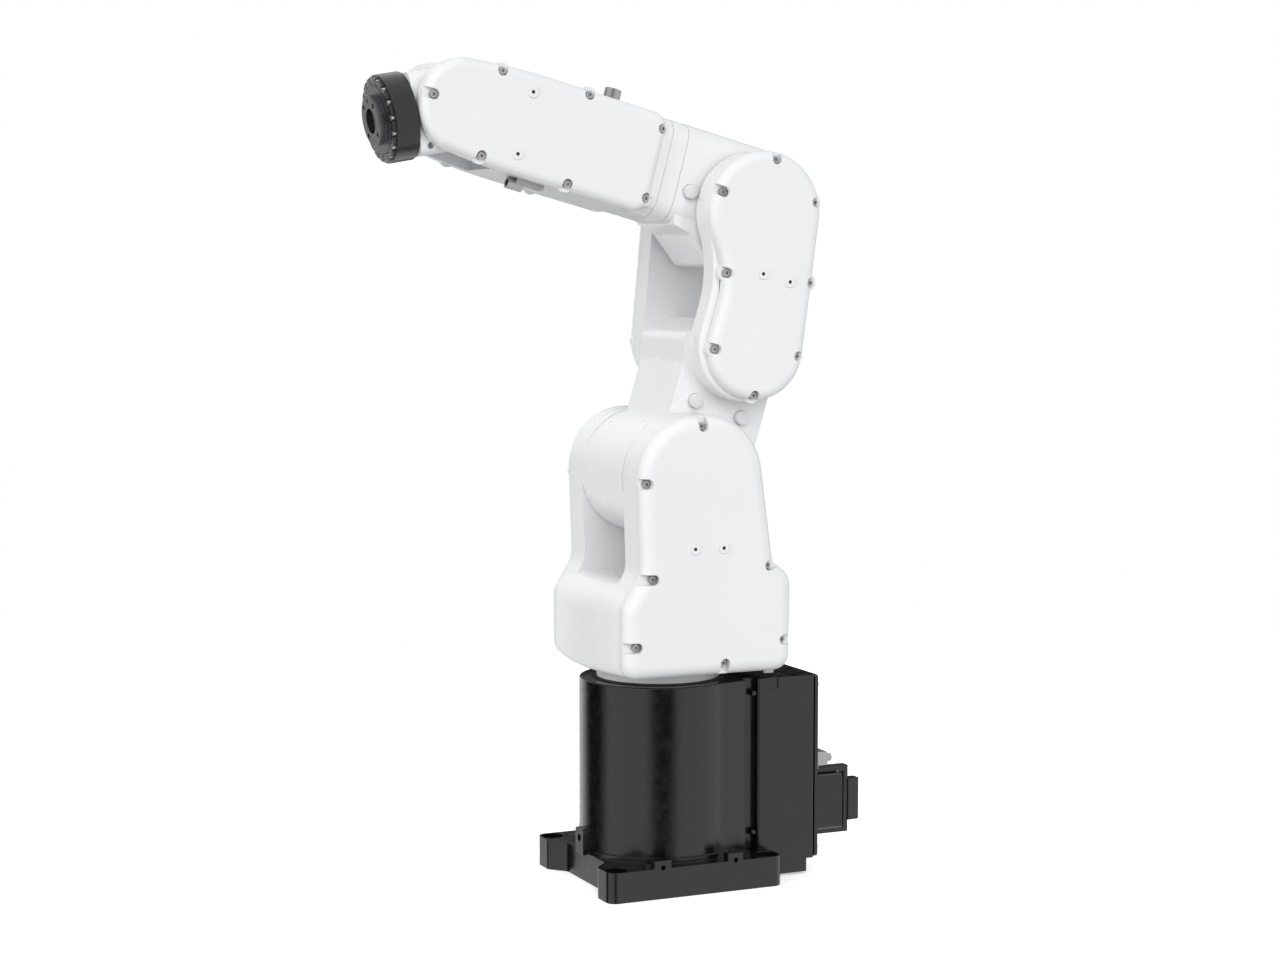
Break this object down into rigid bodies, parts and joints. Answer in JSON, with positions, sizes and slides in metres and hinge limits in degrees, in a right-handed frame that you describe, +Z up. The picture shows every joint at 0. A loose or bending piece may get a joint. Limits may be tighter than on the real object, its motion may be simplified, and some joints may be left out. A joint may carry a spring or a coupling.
{
  "type": "desktop robot arm",
  "caption": "Desktop industrial robot arm: white jointed links on a black base, with rear connector box and round tool flange.",
  "frame": {"origin": "centre of the base's four mounting holes, on the underside of the foot, on the first joint's axis", "axes": "+Z up along the first joint's axis; +X towards the tool at the rest pose; +Y to the arm's left when facing +X"},
  "size_m": [0.4382, 0.1614, 0.675],
  "materials": {
    "white_paint": "satin powder coat over cast aluminium",
    "black_paint": "satin textured powder coat",
    "black_plastic": "moulded, fine grain",
    "light_plastic": "moulded",
    "plug_plastic": "moulded",
    "screw_steel": "plated",
    "motor_metal": "black anodised",
    "machined_steel": "machined",
    "rubber": "matt",
    "flange_aluminium": "machined, dark anodised",
    "fitting_metal": "nickel plated"
  },
  "bodies": {
    "base": {"base_casting": "black_paint", "base_bottom_plate": "machined_steel", "rear_box": "black_paint", "rear_panel": "black_paint", "panel_screws": "screw_steel", "box_screws": "screw_steel", "connector_housing": "black_paint", "connector_insert": "plug_plastic", "service_connectors": "plug_plastic", "air_fitting_block": "fitting_metal", "j1_motor": "motor_metal", "j1_reducer": "machined_steel", "j1_seal_ring": "rubber"},
    "lever": {"connector_lever": "black_plastic"},
    "turret": {"turret_casting": "white_paint", "turret_ring": "white_paint", "turret_cover_near": "white_paint", "turret_cover_far": "white_paint", "turret_cover_screws": "screw_steel", "j2_motor": "motor_metal", "j2_reducer": "machined_steel", "j2_belt": "rubber", "j2_pulleys": "machined_steel", "j2_support_bearing": "machined_steel", "j1_stop_block": "fitting_metal"},
    "lower_arm": {"lower_arm_casting": "white_paint", "lower_arm_cover_near": "white_paint", "lower_arm_cover_far": "white_paint", "lower_arm_cover_screws": "screw_steel", "lower_arm_plugs": "light_plastic", "j3_motor": "motor_metal", "j3_reducer": "machined_steel", "j3_belt": "rubber", "j3_pulleys": "machined_steel", "j3_support_bearing": "machined_steel"},
    "elbow": {"elbow_casting": "white_paint", "elbow_plug": "light_plastic", "j4_motor": "motor_metal", "j4_reducer": "machined_steel"},
    "forearm": {"forearm_collar": "white_paint", "forearm_casting": "white_paint", "forearm_cover_near": "white_paint", "forearm_cover_far": "white_paint", "forearm_cover_screws": "screw_steel", "forearm_top_fitting": "fitting_metal", "forearm_lower_fitting": "fitting_metal", "j5_motor": "motor_metal", "j5_reducer": "machined_steel", "j5_belt": "rubber", "j5_pulleys": "machined_steel", "j5_support_bearing": "machined_steel"},
    "wrist": {"wrist_housing": "white_paint", "wrist_ring": "black_paint", "wrist_ring_screws": "screw_steel", "j6_motor": "motor_metal", "j6_reducer": "machined_steel"},
    "flange": {"tool_flange": "flange_aluminium"}
  },
  "joints": [
    {"name": "base_yaw", "type": "hinge", "parent": "base", "child": "turret", "pos_m": [0, 0, 0.175], "axis": [0, 0, 1], "range_deg": [-170, 170]},
    {"name": "shoulder_pitch", "type": "hinge", "parent": "turret", "child": "lower_arm", "pos_m": [0, 0, 0.34], "axis": [0, 1, 0], "range_deg": [-25, 100]},
    {"name": "elbow_pitch", "type": "hinge", "parent": "lower_arm", "child": "elbow", "pos_m": [-0.06503, 0, 0.5554], "axis": [0, -1, 0], "range_deg": [-42, 130]},
    {"name": "forearm_roll", "type": "hinge", "parent": "elbow", "child": "forearm", "pos_m": [-0.06891, 0, 0.56989], "axis": [0.9659, 0, 0.2588], "range_deg": [-170, 170]},
    {"name": "wrist_pitch", "type": "hinge", "parent": "forearm", "child": "wrist", "pos_m": [0.18223, 0, 0.63718], "axis": [0, 1, 0], "range_deg": [-110, 60]},
    {"name": "tool_roll", "type": "hinge", "parent": "wrist", "child": "flange", "pos_m": [0.18223, 0, 0.63718], "axis": [0.9848, 0, -0.1736], "range_deg": [-360, 360]},
    {"name": "connector_lever_swing", "type": "hinge", "parent": "base", "child": "lever", "pos_m": [-0.1441, 0.008, 0.052], "axis": [0, 0, 1], "range_deg": [-75, 75]}
  ]
}
